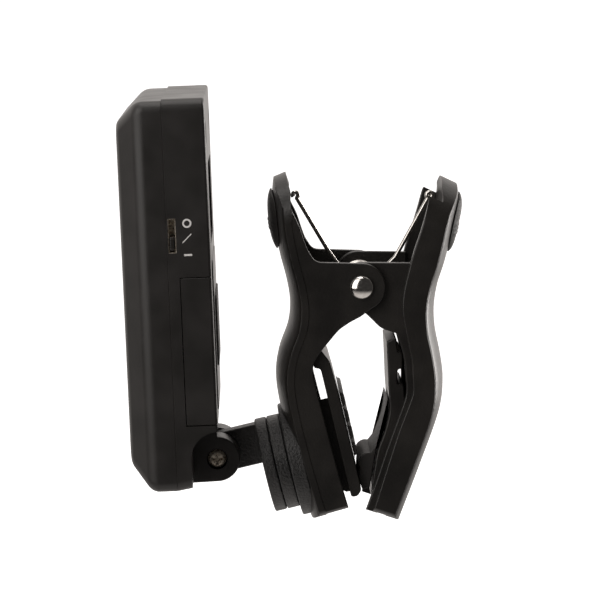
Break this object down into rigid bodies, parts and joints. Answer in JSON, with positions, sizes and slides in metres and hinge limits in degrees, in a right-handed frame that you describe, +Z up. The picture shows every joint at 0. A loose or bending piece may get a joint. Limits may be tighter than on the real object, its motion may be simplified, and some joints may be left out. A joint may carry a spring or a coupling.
{
  "type": "clip on tuner",
  "caption": "Clip-on instrument tuner: flat display head hinged to a swivel arm on a sprung clamp with rubber jaw pads.",
  "frame": {"origin": "the point where the two jaw pads grip, midway along the pads' width", "axes": "+X from the tuner head towards the moving jaw, +Y along the clip's pivot pin away from the battery side, +Z up along the clip from jaws to handles"},
  "size_m": [0.0534, 0.0361, 0.0666],
  "materials": {
    "case_plastic": "fine spark texture, matt black",
    "clip_plastic": "satin moulded black",
    "switch_plastic": "smooth black",
    "rubber": "soft matt black rubber",
    "window_gloss": "polished dark plastic",
    "lcd_glass": "grey liquid crystal panel",
    "polished_nickel": "bright nickel plate",
    "screw_steel": "plated steel",
    "spring_steel": "drawn wire",
    "cell_steel": "brushed",
    "board": "solder mask",
    "brass": "stamped strip"
  },
  "bodies": {
    "clip_body": {"fixed_jaw": "clip_plastic", "fixed_pad_carrier": "clip_plastic", "fixed_rubber_pad": "rubber", "fixed_finger_pad": "rubber", "pivot_rivet": "polished_nickel", "pivot_sleeve": "spring_steel", "torsion_spring": "spring_steel", "swivel_disc": "clip_plastic"},
    "moving_jaw": {"moving_jaw": "clip_plastic", "moving_pad_carrier": "clip_plastic", "moving_rubber_pad": "rubber", "moving_finger_pad": "rubber"},
    "swivel_arm": {"swivel_arm": "clip_plastic", "swivel_screw": "screw_steel", "swivel_washer": "screw_steel"},
    "tuner_head": {"rear_case": "case_plastic", "front_cover": "case_plastic", "display_window": "window_gloss", "lcd_panel": "lcd_glass", "circuit_board": "board", "switch_body": "spring_steel", "battery_contact_plus": "brass", "battery_contact_minus": "brass", "label_plate": "window_gloss", "rear_grip_strip": "rubber", "piezo_disc": "brass", "hinge_screw": "screw_steel", "hinge_nut": "screw_steel", "case_screw_1": "screw_steel", "case_screw_2": "screw_steel", "case_screw_3": "screw_steel"},
    "battery_drawer": {"battery_drawer": "case_plastic", "coin_cell": "cell_steel"},
    "power_switch": {"switch_knob": "switch_plastic"},
    "mode_button": {"mode_button": "rubber"}
  },
  "joints": [
    {"name": "jaw_open", "type": "hinge", "parent": "clip_body", "child": "moving_jaw", "pos_m": [0, 0, 0.026], "axis": [0, -1, 0], "range_deg": [0, 38], "stiffness_Nm_per_rad": 0.12, "springref_deg": -57.3, "deforming": ["torsion_spring"]},
    {"name": "swivel", "type": "hinge", "parent": "clip_body", "child": "swivel_arm", "pos_m": [-0.01249, 0, -0.00343], "axis": [0.9681, 0, 0.2504], "continuous": true},
    {"name": "tilt", "type": "hinge", "parent": "swivel_arm", "child": "tuner_head", "pos_m": [-0.02175, 0, -0.00186], "axis": [0, -1, 0], "range_deg": [-5, 110]},
    {"name": "drawer_slide", "type": "slide", "parent": "tuner_head", "child": "battery_drawer", "axis": [0, -1, 0], "range_m": [0, 0.022]},
    {"name": "switch_slide", "type": "slide", "parent": "tuner_head", "child": "power_switch", "axis": [-0.0558, 0, 0.9984], "range_m": [0, 0.0025]},
    {"name": "button_press", "type": "slide", "parent": "tuner_head", "child": "mode_button", "axis": [0.9984, 0, 0.0558], "range_m": [0, 0.0005], "stiffness_N_per_m": 600}
  ]
}
